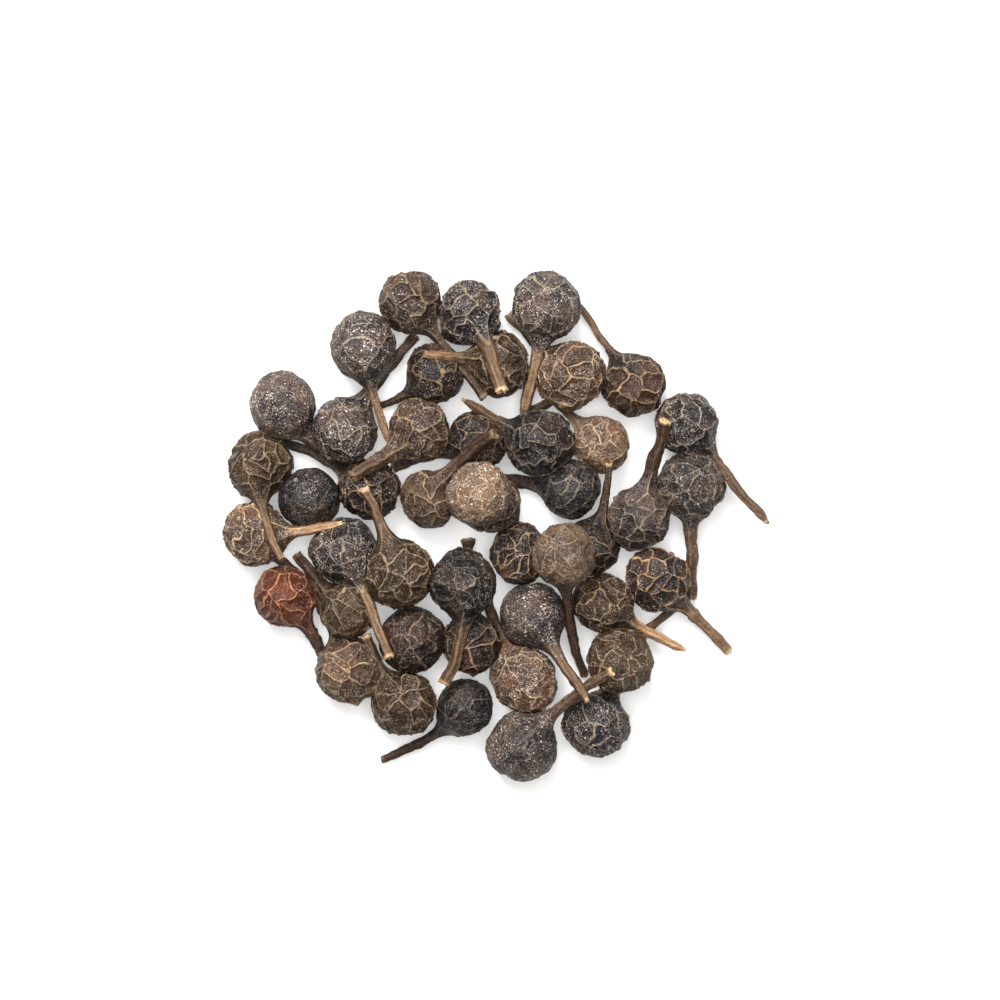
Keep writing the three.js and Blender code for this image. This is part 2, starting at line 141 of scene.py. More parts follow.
def on_curve(start, bend, tip, t):
    """Point on the curve from a berry's middle, past its bend, to the tip of its stalk."""
    return (1 - t) ** 2 * start + 2 * t * (1 - t) * bend + t * t * tip


def resting_height(ball, x, y, radius, give):
    """Height at which a ball at x, y just rests on another, or minus infinity if it misses."""
    ball_x, ball_y, ball_z, ball_radius = ball
    aside = math.hypot(x - ball_x, y - ball_y)
    flank = min(1, aside / max(ball_radius, radius))
    reach = ball_radius + radius - PRESSED - give * flank * flank
    return ball_z + math.sqrt(reach**2 - aside**2) if aside < reach else -math.inf


print("a 5 mm berry on another's crown rests at", resting_height((0, 0, 2.4, 2.5), 0, 0, 2.5, 0))

# %% [markdown]
# A stalk is stiff, so it can't drape over what it crosses. It stays one low curve: of all the
# heights that its tip could have, the rule takes the one that bends the stalk least while it
# clears every stalk and berry below.

# %% Laying a stalk
ROUTE_STEPS = 24
LIFT_STEP = 0.1
LIFT_TRIES = 60
LIFT_COST = 0.5  # how much a raised tip counts against a stalk that arches


def lay_stalk(start, steps, needs, inside):
    """Heights of the bend and the tip of the straightest low curve above what it needs."""
    best = (math.inf, 0, 0)
    for tries in range(LIFT_TRIES):
        tip = needs[-1] + LIFT_STEP * tries
        straight = (start + tip) / 2
        bend = straight
        for t, need, hidden in list(zip(steps, needs, inside))[:-1]:
            if not hidden:
                bend = max(bend, (need - (1 - t) ** 2 * start - t * t * tip) / (2 * t * (1 - t)))
        cost = (bend - straight) ** 2 + LIFT_COST * (tip - needs[-1])
        if cost < best[0]:
            best = (cost, bend, tip)
    return best[1:]


def deepest_cut(points, steps, inside, bodies, start, bend, tip, half):
    """Which point of a laid stalk cuts deepest into a berry, and the height that clears it."""
    worst, depth, height = None, 0, 0
    for i, (x, y) in enumerate(points):
        z = on_curve(start, bend, tip, steps[i])
        for body in [] if inside[i] else bodies:
            clear = resting_height(body, x, y, half, STALK_GIVE)
            if 2 * body[2] - clear < z < clear and clear - z > depth:
                worst, depth, height = i, clear - z, clear
    return worst, height


# %% The heap settles
Berry = namedtuple("Berry", "row radius start bend tip")
STEPS = [(i + 1) / ROUTE_STEPS for i in range(ROUTE_STEPS)]


def settle(heap):
    """Every berry with its middle and the bend and tip of its stalk, in mm."""
    bodies, stalks, berries = [], [], []
    for row in heap:
        radius, half = row.across / 2, row.stalk / 2
        here = np.array([row.x, row.y]) - MIDDLE
        there = np.array([row.tip_x, row.tip_y]) - MIDDLE
        z = radius - FLAT_SPOT
        z = max([z] + [resting_height(body, *here, radius, BODY_GIVE) for body in bodies])
        z = max([z] + [resting_height(ball, *here, radius, STALK_GIVE) for ball in stalks])
        run = there - here
        span = np.hypot(*run)
        bend = (here + there) / 2 + 2 * row.bow / span * np.array([-run[1], run[0]])
        if span < radius:
            tip_z = max(half, z - math.sqrt((radius + STUB) ** 2 - span**2))
            bend_z = (z + tip_z) / 2
        else:
            points = [on_curve(here, bend, there, t) for t in STEPS]
            inside = [np.hypot(*(point - here)) < radius for point in points]
            needs = [max([half] + [resting_height(ball, *p, half, 0) for ball in stalks]) for p in points]
            needs[-1] = max(needs[-1], row.held)
            bend_z, tip_z = lay_stalk(z, STEPS, needs, inside)
            for _ in range(ROUTE_STEPS):
                worst, height = deepest_cut(points, STEPS, inside, bodies, z, bend_z, tip_z, half)
                if worst is None:
                    break
                needs[worst] = height
                bend_z, tip_z = lay_stalk(z, STEPS, needs, inside)
            for point, t, hidden in zip(points, STEPS, inside):
                if not hidden:
                    stalks.append((*point, on_curve(z, bend_z, tip_z, t), half))
        bodies.append((*here, z, radius))
        places = [np.array([*plan, height]) for plan, height in zip((here, bend, there), (z, bend_z, tip_z))]
        berries.append(Berry(row, radius, *places))
    return berries


berries = settle(HEAP)
print("topmost berry:", max(round(berry.start[2] + berry.radius, 2) for berry in berries), "mm high")

# %% [markdown]
# ## One ball with an opening
#
# Each berry starts from a ball whose squares are all about the same size, so that veins come
# out equally sharp everywhere. A globe of latitude rings would crowd at its poles, so the ball
# is a divided cube, blown up. A few squares are left out at the top: the stalk's rings of points
# start at the rim of that opening, so that berry and stalk are one skin with no seam.

# %% The divided ball
CELLS = 38  # squares along one edge of the cube
OPENING = 6  # squares across the opening for the stalk
AROUND = 4 * OPENING  # points around the opening, and so around the stalk
STALK_RINGS = 44


def cube_grid():
    """Whole-number corners of the divided cube, its squares, and the rim of the opening."""
    low, high = (CELLS - OPENING) // 2, (CELLS + OPENING) // 2
    squares = []
    for axis in range(3):
        for side in (0, CELLS):
            for i in range(CELLS):
                for j in range(CELLS):
                    if axis == 2 and side == CELLS and low <= i < high and low <= j < high:
                        continue
                    ring = [(i, j), (i + 1, j), (i + 1, j + 1), (i, j + 1)]
                    for u, v in ring if side else reversed(ring):
                        corner = [0, 0, 0]
                        corner[axis], corner[(axis + 1) % 3], corner[(axis + 2) % 3] = side, u, v
                        squares.append(corner)
    corners, numbers = np.unique(np.array(squares), axis=0, return_inverse=True)
    number_of = {tuple(corner): i for i, corner in enumerate(corners)}
    rim = [(low + k, low) for k in range(OPENING)] + [(high, low + k) for k in range(OPENING)]
    rim += [(high - k, high) for k in range(OPENING)] + [(low, high - k) for k in range(OPENING)]
    return corners, numbers.reshape(-1, 4), np.array([number_of[(u, v, CELLS)] for u, v in rim])


corners, squares, rim = cube_grid()
print(len(corners), "points and", len(squares), "squares on a ball")

# %% [markdown]
# The cube's lines are spaced by equal angles, which keeps the squares even once the cube is
# blown up. The opening would still be square, so the points around it are eased into a
# round one.

# %% Directions from the middle of the ball
STALK_EDGE = OPENING / CELLS * math.pi / 4  # angle from the stalk's axis to the opening's rim
EASED_TO = math.radians(34)


def smooth_step(values, start, stop):
    share = np.clip((values - start) / (stop - start), 0, 1)
    return share * share * (3 - 2 * share)


def ball_angles(corners):
    """Angle from the stalk's axis and angle around it, for every point of the ball."""
    grid_angles = (corners / CELLS - 0.5) * math.pi / 2
    ways = np.tan(grid_angles)
    ways /= np.linalg.norm(ways, axis=1)[:, None]
    away = np.arccos(np.clip(ways[:, 2], -1, 1))
    square_away = np.abs(grid_angles[:, :2]).max(axis=1)
    on_top = (corners[:, 2] == CELLS) & (square_away < EASED_TO)
    eased = square_away + (away - square_away) * smooth_step(square_away, STALK_EDGE, EASED_TO)
    return np.where(on_top, eased, away), np.arctan2(ways[:, 1], ways[:, 0])


away, around = ball_angles(corners)
print("opening:", round(math.degrees(STALK_EDGE), 1), "degrees from the stalk's axis")

# %% The faces of a whole berry
def berry_faces():
    """Four-cornered faces of ball, stalk and cut tip; points are numbered in that order."""
    rings = [rim] + [len(corners) + k * AROUND + np.arange(AROUND) for k in range(STALK_RINGS + 2)]
    faces = [squares]
    for lower, upper in zip(rings, rings[1:]):
        faces.append(np.stack([lower, np.roll(lower, -1), np.roll(upper, -1), upper], axis=1))
    centre = len(corners) + (STALK_RINGS + 2) * AROUND
    last = rings[-1]
    pairs = np.stack([last[0::2], last[1::2], np.roll(last, -2)[0::2]], axis=1)
    cap = np.column_stack([pairs, np.full(len(pairs), centre)])
    return np.concatenate(faces + [cap]), centre + 1


faces, point_count = berry_faces()
print(point_count, "points and", 2 * len(faces), "triangles a berry")

# %% [markdown]
# ## Smooth unevenness
#
# Nothing on a dried berry is regular, so most of its measures stray a little. Array code can't
# read Blender's own noise, but a few waves in random directions add up to the same kind of
# soft, rolling field, and a fixed seed gives the same one each time.

# %% Rolling noise
def rolling(points, size, seed, waves=18):
    """Smooth noise, mostly between -2 and 2, whose bumps are about `size` apart."""
    random = np.random.default_rng(seed)
    ways = random.normal(size=(waves, 3))
    ways *= (2 * math.pi / (size * random.uniform(0.75, 1.5, waves)) / np.linalg.norm(ways, axis=1))[:, None]
    return np.cos(points @ ways.T + random.uniform(0, 2 * math.pi, waves)).sum(axis=1) / math.sqrt(waves / 2)


print("noise strays by", round(float(rolling(np.random.default_rng(1).normal(size=(999, 3)), 1, 1).std()), 2))

# %% [markdown]
# ## Veins
#
# As the flesh of a cubeb shrinks, its skin sinks between the veins and leaves them standing
# as a net of thin ridges. Such a net is what divides a surface into the areas nearest to
# scattered points, so a few dozen points are spread over the ball with some jitter. The line
# between two areas is a vein. Five or six points ring the stalk and four ring the far end, so
# that veins meet there, as they do on the berry.

# %% Points that the skin shrinks towards
CELL_ACROSS = 1.5  # mean width of the skin between two veins, in mm
HEXAGON = 0.87  # area of a hexagon that is 1 across
JITTER = 0.42  # how far the points stray, as a share of CELL_ACROSS
NEAR_STALK, NEAR_END = 0.55, 0.3  # radius of the two rings of points, as angles
CLEAR_OF_STALK, CLEAR_OF_END = 0.85, 0.6  # no scattered points within these angles


def ways_at(away, around):
    """Unit vectors from their angle from the stalk's axis and their angle around it."""
    return np.stack([np.sin(away) * np.cos(around), np.sin(away) * np.sin(around), np.cos(away)], axis=1)


def ring_of_seeds(random, count, away):
    """A ring of unit vectors at one angle from the stalk's axis, slightly uneven."""
    turns = 2 * math.pi * (np.arange(count) + random.uniform(-0.22, 0.22, count)) / count
    return ways_at(np.full(count, away) + random.uniform(-0.06, 0.06, count), turns)


def vein_seeds(random, radius):
    """Scattered unit vectors, and the angles around the stalk at which veins run into it."""
    count = round(4 * math.pi * radius**2 / (HEXAGON * CELL_ACROSS**2))
    spiral = np.arange(count) + 0.5
    spread = ways_at(np.arccos(1 - 2 * spiral / count), spiral * math.pi * (1 + math.sqrt(5)))
    spread += random.normal(scale=JITTER * CELL_ACROSS / radius, size=spread.shape)
    spread /= np.linalg.norm(spread, axis=1)[:, None]
    clear = (spread[:, 2] < math.cos(CLEAR_OF_STALK)) & (spread[:, 2] > -math.cos(CLEAR_OF_END))
    near_stalk = ring_of_seeds(random, random.integers(5, 7), NEAR_STALK)
    turns = np.arctan2(near_stalk[:, 1], near_stalk[:, 0])
    ridges = turns + (np.roll(turns, -1) - turns) % (2 * math.pi) / 2
    near_end = ring_of_seeds(random, 4, math.pi - NEAR_END)
    return np.concatenate([spread[clear], near_stalk, near_end]), ridges


print(len(vein_seeds(np.random.default_rng(1), 2.5)[0]), "areas of skin on a 5 mm berry")

# %% [markdown]
# A vein that fell between two rows of points would come out as a broken line of bumps. So the
# points of the ball that lie nearest to a vein are moved onto it, which keeps its crest sharp
# with a fairly coarse mesh. Each point also keeps its distance from the nearest vein, for the
# shape here and for the colour later.

# %% The net of veins
def nearest_vein(ways, seeds, strengths):
    """Angle to the nearest vein, the way to it, its strength, and which area a point is in."""
    closeness = ways @ seeds.T
    order = np.argpartition(-closeness, 1, axis=1)[:, :2]
    pair = np.take_along_axis(closeness, order, axis=1)
    first = np.where(pair[:, 0] >= pair[:, 1], order[:, 0], order[:, 1])
    second = np.where(pair[:, 0] >= pair[:, 1], order[:, 1], order[:, 0])
    across = seeds[second] - seeds[first]
    length = np.linalg.norm(across, axis=1)
    return np.abs(pair[:, 0] - pair[:, 1]) / length, across / length[:, None], strengths[first, second], first


def snapped_to_veins(ways, seeds, strengths, warp, spacing, movable):
    """The same unit vectors, with those nearest to a vein moved onto it."""
    ways = ways.copy()
    for _ in range(3):
        angle, toward, _, _ = nearest_vein(ways + warp, seeds, strengths)
        near = movable & (angle < 0.55 * spacing)
        ways[near] += toward[near] * angle[near, None]
        ways /= np.linalg.norm(ways, axis=1)[:, None]
    return ways


print("points of the ball are", round(90 / CELLS, 1), "degrees apart")

# %% [markdown]
# ## The outline from berry to stalk
#
# Seen from the side the skin runs round the ball and then, near the stalk, swings outwards
# into a neck. One smooth curve makes that turn: it leaves the ball in the ball's own direction
# and arrives in the stalk's direction. A broad neck leaves the ball later and arrives further
# along the stalk.

# %% The neck's curve
NECK_FROM = math.radians(40)  # angle from the stalk's axis where the neck leaves the ball
NECK_END = 1.12  # width of the neck's thin end, in widths of the stalk
LEAVING, ARRIVING = 0.42, 0.75  # how strongly the curve keeps to the ball and to the stalk
BROAD_NECK = 0.2  # how much less it keeps to the ball where the neck is broad


def outline(away, radius, half, neck, reach):
    """Distance from the axis and place along it, for angles from the axis."""
    sideways, along = radius * np.sin(away), radius * np.cos(away)
    share = np.clip((NECK_FROM - away) / (NECK_FROM - STALK_EDGE), 0, 1)
    leave = np.array([math.sin(NECK_FROM), math.cos(NECK_FROM)]) * radius
    heading = np.array([-math.cos(NECK_FROM), math.sin(NECK_FROM)])
    arrive = np.array([half * NECK_END, radius + reach])
    keeps = leave + heading * radius * (LEAVING - BROAD_NECK * neck)
    pulls = [leave, keeps, arrive - [0, reach * ARRIVING], arrive]
    curve = sum(
        math.comb(3, k) * (share**k * (1 - share) ** (3 - k))[:, None] * pull for k, pull in enumerate(pulls)
    )
    on_neck = share > 0
    return np.where(on_neck, curve[:, 0], sideways), np.where(on_neck, curve[:, 1], along)


print("a stalk of 0.8 mm begins", round(0.8 * NECK_END, 2), "mm wide")

# %% [markdown]
# ## Bending along the stalk
#
# A berry is built upright, with its stalk along one straight axis. Then each point is carried
# to the curve that the settling found: its place along the axis becomes a distance along the
# curve, and its place beside the axis stays. The curve lies in one plane, whose own direction
# keeps the stalk from twisting.

# %% Carry a straight berry onto its curve
CURVE_STEPS = 200
STRAIGHT = 1e-3  # a stalk that turns less than this is taken as straight
ANY_SIDE = [0.3, 0.9, 0.1]  # its plane is then free to choose


def curve_table(berry):
    """Points along a berry's curve and how far along it each one lies."""
    t = np.linspace(0, 1, CURVE_STEPS)[:, None]
    points = on_curve(berry.start, berry.bend, berry.tip, t)
    lengths = np.concatenate([[0], np.cumsum(np.linalg.norm(np.diff(points, axis=0), axis=1))])
    return points, lengths


def carried(local, berry):
    """Points of an upright berry, moved to the berry's place and bent along its stalk."""
    points, lengths = curve_table(berry)
    headings = np.gradient(points, axis=0)
    headings /= np.linalg.norm(headings, axis=1)[:, None]
    normal = np.cross(berry.bend - berry.start, berry.tip - berry.bend)
    if np.linalg.norm(normal) < STRAIGHT:
        normal = np.cross(headings[0], ANY_SIDE)
    normal /= np.linalg.norm(normal)
    along = local[:, 2]
    inside = np.clip(along, 0, lengths[-1])
    place = np.stack([np.interp(inside, lengths, points[:, k]) for k in range(3)], axis=1)
    heading = np.stack([np.interp(inside, lengths, headings[:, k]) for k in range(3)], axis=1)
    heading /= np.linalg.norm(heading, axis=1)[:, None]
    beside = np.cross(heading, normal)
    return place + (along - inside)[:, None] * heading + local[:, :1] * normal + local[:, 1:2] * beside


print("longest stalk:", round(max(curve_table(b)[1][-1] - b.radius for b in berries), 1), "mm")

# %% [markdown]
# ## Ridges along a stalk
#
# The veins don't end at the neck: they run on down the stalk as low ridges. How near a point
# is to a ridge follows from its angle around the stalk, for the shape and for the colour.

# %% Ridges and grooves
RIDGE_WIDTH = 0.3  # half width of a ridge, in radians around the stalk
RIDGE_MEAN = 0.4  # taken off a ridge's height, so that ridges leave the mean width alone


def ridge_offset(around, ridges):
    """Angle around the stalk from each point to the nearest ridge."""
    apart = (around[:, None] - ridges[None, :] + math.pi) % (2 * math.pi) - math.pi
    return np.abs(apart).min(axis=1)


def ridge_height(around, ridges):
    return np.exp(-((ridge_offset(around, ridges) / RIDGE_WIDTH) ** 2)) - RIDGE_MEAN


print("a ridge on a stalk of 0.8 mm is", round(0.8 * RIDGE_WIDTH, 2), "mm wide")

# %% [markdown]
# ## A berry's own net of veins
#
# Lines between areas are as straight as cracks in glass, but a real vein wanders, so the net
# is read at points that soft noise has moved a little. Each vein draws its strength by lot,
# which makes some stand out and others fade, as on the real berry.

# %% The net on the ball
SEED_RANGE = 1_000_000
NET_FROM = math.radians(10)  # the net fades out towards the stalk's axis
SNAP_FROM = 1.25 * STALK_EDGE  # points nearer to the stalk than this stay in their place
POINT_SPACING = math.pi / 2 / CELLS
LONG_BENDS, LONG_DEPTH = 0.85, 0.065  # length and depth of a vein's bends, on a ball of radius 1
SHORT_BENDS, SHORT_DEPTH = 0.36, 0.022
WEAKEST_DRAW = 0.15
VEIN_GAIN = 1.35  # brings the strongest veins of a well-veined berry to full strength
on_body = smooth_step(away, NET_FROM, NECK_FROM)
Net = namedtuple("Net", "ways angle strength area areas ridges")


def vein_net(row, radius, random, seed):
    """The ball's points, some moved onto veins, and what is known of the vein nearest to each."""
    seeds, ridges = vein_seeds(random, radius)
    draws = random.uniform(WEAKEST_DRAW, 1.0, (len(seeds), len(seeds)))
    strengths = np.clip(VEIN_GAIN * np.maximum(draws, draws.T) * row.veins, 0, 1)
    ways = ways_at(away, around)
    bends = [rolling(ways, LONG_BENDS, seed + k) * LONG_DEPTH
             + rolling(ways, SHORT_BENDS, seed + 5 + k) * SHORT_DEPTH for k in range(3)]
    warp = np.stack(bends, axis=1) * on_body[:, None]
    ways = snapped_to_veins(ways, seeds, strengths, warp, POINT_SPACING, away > SNAP_FROM)
    angle, _, strength, area = nearest_vein(ways + warp, seeds, strengths)
    return Net(ways, angle, strength, area, len(seeds), ridges)


net = vein_net(berries[-1].row, berries[-1].radius, np.random.default_rng(1), 1)
print(round(100 * float((net.angle < 0.02).mean())), "% of a berry's points lie on a vein")

# %% [markdown]
# ## Sunken skin
#
# Between two veins the skin sags like cloth between strings, and each vein has a narrow crest.
# Over that the whole berry is dented, and its far end carries a small nub. A displacement in
# the material could do this too, but then the exported mesh would stay smooth.

# %% How far the skin stands out
SINK = 0.135  # how far the skin sinks between strong veins, as a share of the radius
LEAST_SUNK = 0.45  # the flattest patch of skin sinks by this share of that
SAG_ANGLE = 0.13  # angle from a vein over which the skin sinks
CREST = 0.08  # height of a vein over its own foot, in mm
CREST_WIDTH = 0.09  # half width of that crest, in mm
VEINLESS = 0.25  # share of the relief that a berry without veins keeps
WEAK_SAG = 0.35  # share of the depth that the skin keeps beside the weakest vein
RISE = 0.35  # the whole skin is raised by this share of SINK, so that the mean size stays
DENTS = [(1.7, 0.026), (0.7, 0.014)]  # width and depth of broad dents, as shares of the radius
WRINKLES = (0.24, 0.007)  # the same of fine wrinkles
GRAIN = 0.014  # roughness from point to point, in mm
NUB, NUB_WIDTH = 0.075, 0.11  # height and half width of the nub, as shares of the radius


def skin_swell(net, row, radius, random, seed):
    """How far each point of the ball stands out from a true ball, in mm."""
    sunk = random.uniform(LEAST_SUNK, 1.0, net.areas)[net.area]
    veined = VEINLESS + (1 - VEINLESS) * row.veins
    sag = (1 - np.exp(-net.angle / SAG_ANGLE)) * (WEAK_SAG + (1 - WEAK_SAG) * net.strength)
    dip = SINK * veined * sunk * sag
    crest = CREST * veined * net.strength * np.exp(-((net.angle * radius / CREST_WIDTH) ** 2)) / radius
    dents = sum(depth * rolling(net.ways, width, seed + 11 + k) for k, (width, depth) in enumerate(DENTS))
    wrinkles = WRINKLES[1] * rolling(net.ways, WRINKLES[0], seed + 13)
    from_end = math.pi - np.arccos(np.clip(net.ways[:, 2], -1, 1))
    nub = NUB * random.uniform(0.5, 1.0) * np.exp(-((from_end / NUB_WIDTH) ** 2))
    swell = radius * ((crest - dip + SINK * RISE + dents) * on_body + wrinkles + nub)
    return swell + random.normal(scale=GRAIN, size=len(net.ways)) * on_body


swell = skin_swell(net, berries[-1].row, berries[-1].radius, np.random.default_rng(1), 1)
print("a berry's skin stands out by", np.round([swell.min(), swell.max()], 2), "mm")

# %% [markdown]
# ## The body
#
# The swell is laid on square to the outline, so that it follows the neck as well as the ball.
# Each point keeps a few numbers that the colours need: how far it is from a vein and how
# strong that vein is, how pale its patch of skin is, how far it is onto the stalk and how near
# to the tip.

# %% Ball and neck
SMALL_ANGLE = 1e-3  # step along the outline that gives its direction
NECK_RIDGES = 0.2  # how far ridges stand out on the neck, as a share of its width
UNROUND = 0.025  # how far a berry's two widths stray
NUB_MARK = 0.09  # half width of the nub's pale spot, as an angle
CELL_SHADE = 0.4  # how much paler or darker one patch of skin is than the next
WOOD_ON_NECK = 0.8  # how far the neck has turned to wood where the stalk begins


def neck_reach(row, free):
    """How far beyond the ball the neck ends."""
    return min(0.8 + 1.1 * row.neck, 0.55 * free)


def body_points(berry, random, length):
    """Upright points of the ball and neck, with what the colours need to know of them."""
    row, radius = berry.row, berry.radius
    seed = int(random.integers(SEED_RANGE))
    net = vein_net(row, radius, random, seed)
    swell = skin_swell(net, row, radius, random, seed)
    turned_away = np.arccos(np.clip(net.ways[:, 2], -1, 1))
    turned_around = np.arctan2(net.ways[:, 1], net.ways[:, 0])

    form = (radius, row.stalk / 2, row.neck, neck_reach(row, length - radius))
    sideways, along = outline(turned_away, *form)
    next_sideways, next_along = outline(turned_away + SMALL_ANGLE, *form)
    outward = np.stack([along - next_along, next_sideways - sideways], axis=1)
    outward /= np.linalg.norm(outward, axis=1)[:, None]
    on_neck = 1 - smooth_step(turned_away, STALK_EDGE, NECK_FROM)
    sideways = sideways * (1 + NECK_RIDGES * on_neck * ridge_height(turned_around, net.ridges))
    sideways += swell * outward[:, 0]
    along += swell * outward[:, 1]
    width, depth = 1 + random.normal(scale=UNROUND, size=2)
    points = np.stack([sideways * np.cos(turned_around) * width,
                       sideways * np.sin(turned_around) * depth, along], axis=1)

    on_nub = np.exp(-(((math.pi - turned_away) / NUB_MARK) ** 2))
    marks = {
        "from_vein": net.angle * radius * (1 - 0.7 * on_nub),
        "vein": np.maximum(net.strength, on_nub),
        "stalk": WOOD_ON_NECK * on_neck,
        "tip": np.zeros(len(net.ways)),
        "shade": random.uniform(-CELL_SHADE, CELL_SHADE, net.areas)[net.area],
    }
    return points, marks, net.ridges


print("the longest neck ends", round(max(neck_reach(b.row, 9) for b in berries), 2), "mm from its ball")

# %% [markdown]
# ## The stalk
#
# A stalk isn't turned on a lathe: it tapers, swells, thins and wanders a little. Most were
# snapped and end dark and blunt, some were cut and show their pale inside, some taper into
# fibres, and a few end in the knob that held the berry to its spike. For each kind of end one
# table says how wide it is and another how pale.

# %% Rings of a stalk
END_WIDTH = {"snapped": 0.95, "cut": 1.15, "pointed": 0.45, "knob": 1.5}
END_PALENESS = {"snapped": 0.25, "cut": 1.0, "pointed": 0.8, "knob": 0.45}
END_LENGTH = 0.5  # length over which a stalk takes the width of its end, in mm
AT_NECK, TAPER = 1.05, 0.17  # width where the stalk begins, and how much of it is lost
SWELLS = 0.06  # how far its width strays along it, and next around it
BUMPS = 0.05
STALK_RIDGES = 0.22
WANDER = 0.06  # how far it strays to the side, in mm
RAGGED = 0.07  # how uneven its cut is, in mm
CAP_WIDTHS, CAP_DEPTHS = [0.62, 0.25], [0.03, 0.12]  # two rings inside the cut, as shares of its radius


def stalk_points(berry, random, length, ridges):
    """Upright points of the stalk's rings and its cut tip."""
    row, radius = berry.row, berry.radius
    half = row.stalk / 2
    seed = int(random.integers(SEED_RANGE))
    start = radius + neck_reach(row, length - radius)
    share = np.concatenate([(np.arange(STALK_RINGS) + 1) / STALK_RINGS, [1.0, 1.0]])
    along = np.repeat(start + (length - start) * share, AROUND)
    angles = np.tile(around[rim], len(share))
    past = along - start
    middle_line = np.stack([np.zeros_like(past), np.zeros_like(past), past], axis=1)
    outer_line = np.stack([np.cos(angles), np.sin(angles), past], axis=1)

    width = half * (AT_NECK - TAPER * past / (length - start) + 0.07 * np.exp(-past / 0.8))
    width *= 1 + SWELLS * rolling(middle_line, 2.2, seed) + BUMPS * rolling(outer_line, 0.7, seed + 1)
    width *= 1 + STALK_RIDGES * ridge_height(angles, ridges)
    width *= 1 + (END_WIDTH[row.end] - 1) * np.exp(-((length - along) / END_LENGTH) ** 2)
    width *= np.repeat([1.0] * STALK_RINGS + CAP_WIDTHS, AROUND)
    fade = smooth_step(past, 0, 2.0)
    aside, across = [WANDER * rolling(middle_line, 3.5, seed + 2 + k) * fade for k in range(2)]
    ragged = np.tile(random.normal(scale=RAGGED, size=AROUND), len(share))
    ragged *= smooth_step(along, length - END_LENGTH, length)
    height = along + ragged - np.repeat([0.0] * STALK_RINGS + CAP_DEPTHS, AROUND) * half
    points = np.stack([width * np.cos(angles) + aside, width * np.sin(angles) + across, height], axis=1)
    centre = np.array([[aside[-1], across[-1], length - 0.2 * half]])

    in_cap = np.repeat([0.0] * STALK_RINGS + [1.0, 1.0], AROUND)
    marks = {
        "from_vein": ridge_offset(angles, ridges) * width,
        "vein": np.full(len(points), 0.8),
        "shade": np.zeros(len(points)),
        "stalk": WOOD_ON_NECK + (1 - WOOD_ON_NECK) * smooth_step(past, 0, 1.2),
        "tip": END_PALENESS[row.end] * np.maximum(in_cap, smooth_step(height, length - 0.35, length - 0.02)),
    }
    marks = {name: np.append(values, values[-1]) for name, values in marks.items()}
    return np.concatenate([points, centre]), marks


print({end: sum(row.end == end for row in HEAP) for end in END_WIDTH})

# %% [markdown]
# ## One whole berry
#
# Body and stalk are put together upright and carried to where the berry lies, and what would
# reach below the surface is pressed flat. How dusty the berry is, with its painted glints, and
# how pale its wood is goes for all its points. The wood's fibres get a frame of their own, drawn
# out along the stalk.

# %% Body and stalk together
FIRST_SEED = 1000
PALER_BY = 0.6
FIBRE_FRAME = (0.4, 0.12)  # how finely fibres lie around a stalk, and how far they are drawn out


def whole_berry(berry, number):
    """Points of one berry in mm, in place, and the numbers that its colours need."""
    random = np.random.default_rng(FIRST_SEED + number)
    length = curve_table(berry)[1][-1]
    body, body_marks, ridges = body_points(berry, random, length)
    stalk, stalk_marks = stalk_points(berry, random, length, ridges)
    upright = np.concatenate([body, stalk])
    marks = {name: np.concatenate([body_marks[name], stalk_marks[name]]) for name in body_marks}
    paler = (berry.row.name in PALER) - (berry.row.name in DARKER)
    marks["shade"] += PALER_BY * paler + random.uniform(-0.2, 0.2)
    marks["dust"] = np.full(len(upright), berry.row.dust)
    marks["wood"] = np.full(len(upright), berry.row.wood)
    turn = np.arctan2(upright[:, 1], upright[:, 0])
    fine, drawn_out = FIBRE_FRAME
    fibre = [fine * np.cos(turn), fine * np.sin(turn), drawn_out * upright[:, 2] + number]
    marks["fibre"] = np.stack(fibre, axis=1)
    points = carried(upright, berry)
    points[:, 2] = np.maximum(points[:, 2], 0)
    return points, marks


points, marks = whole_berry(berries[-1], 0)
print("topmost berry spans", np.round(points.max(axis=0) - points.min(axis=0), 1), "mm")

# %% [markdown]
# ## Helpers for the colours
#
# Colours are given as the hex values of a paint program, so one helper turns them into the
# linear values that Blender reckons with. Another adds a node with its settings and links and
# hands back one of its outputs. Where sockets share a name they are given by number: a colour
# mix has its factor at 0, its colours at 6 and 7 and its result at 2, a map range has its value
# at 0, where it comes from at 1 and 2 and where it goes to at 3 and 4, and a scaled vector has
# its scale at 3. The steps below get this helper as `add`, for the nodes of one material.

# %% Colours and nodes
NOISE = {"kind": "ShaderNodeTexNoise"}
MIXED = {"kind": "ShaderNodeMix", "data_type": "RGBA", "output": 2}
EASED = {"kind": "ShaderNodeMapRange", "interpolation_type": "SMOOTHSTEP"}
TIMES = {"kind": "ShaderNodeMath", "operation": "MULTIPLY"}
SCALED = {"kind": "ShaderNodeVectorMath", "operation": "SCALE"}


def linear(hex_colour):
    """A hex colour such as "4a3f35" as linear red, green, blue and full opacity."""
    shades = [int(hex_colour[i:i + 2], 16) / 255 for i in (0, 2, 4)]
    return [s / 12.92 if s <= 0.04045 else ((s + 0.055) / 1.055) ** 2.4 for s in shades] + [1.0]


def add_node(tree, inputs, kind, output=0, **settings):
    """Adds a node and returns one of its outputs; an input is a value or such an output."""
    node = tree.nodes.new(kind)
    for name, value in settings.items():
        setattr(node, name, value)
    for socket, value in inputs.items():
        if isinstance(value, bpy.types.NodeSocket):
            tree.links.new(value, node.inputs[socket])
        else:
            node.inputs[socket].default_value = value
    return node.outputs[output]


print("mid grey is", round(linear("808080")[0], 3), "in linear light")
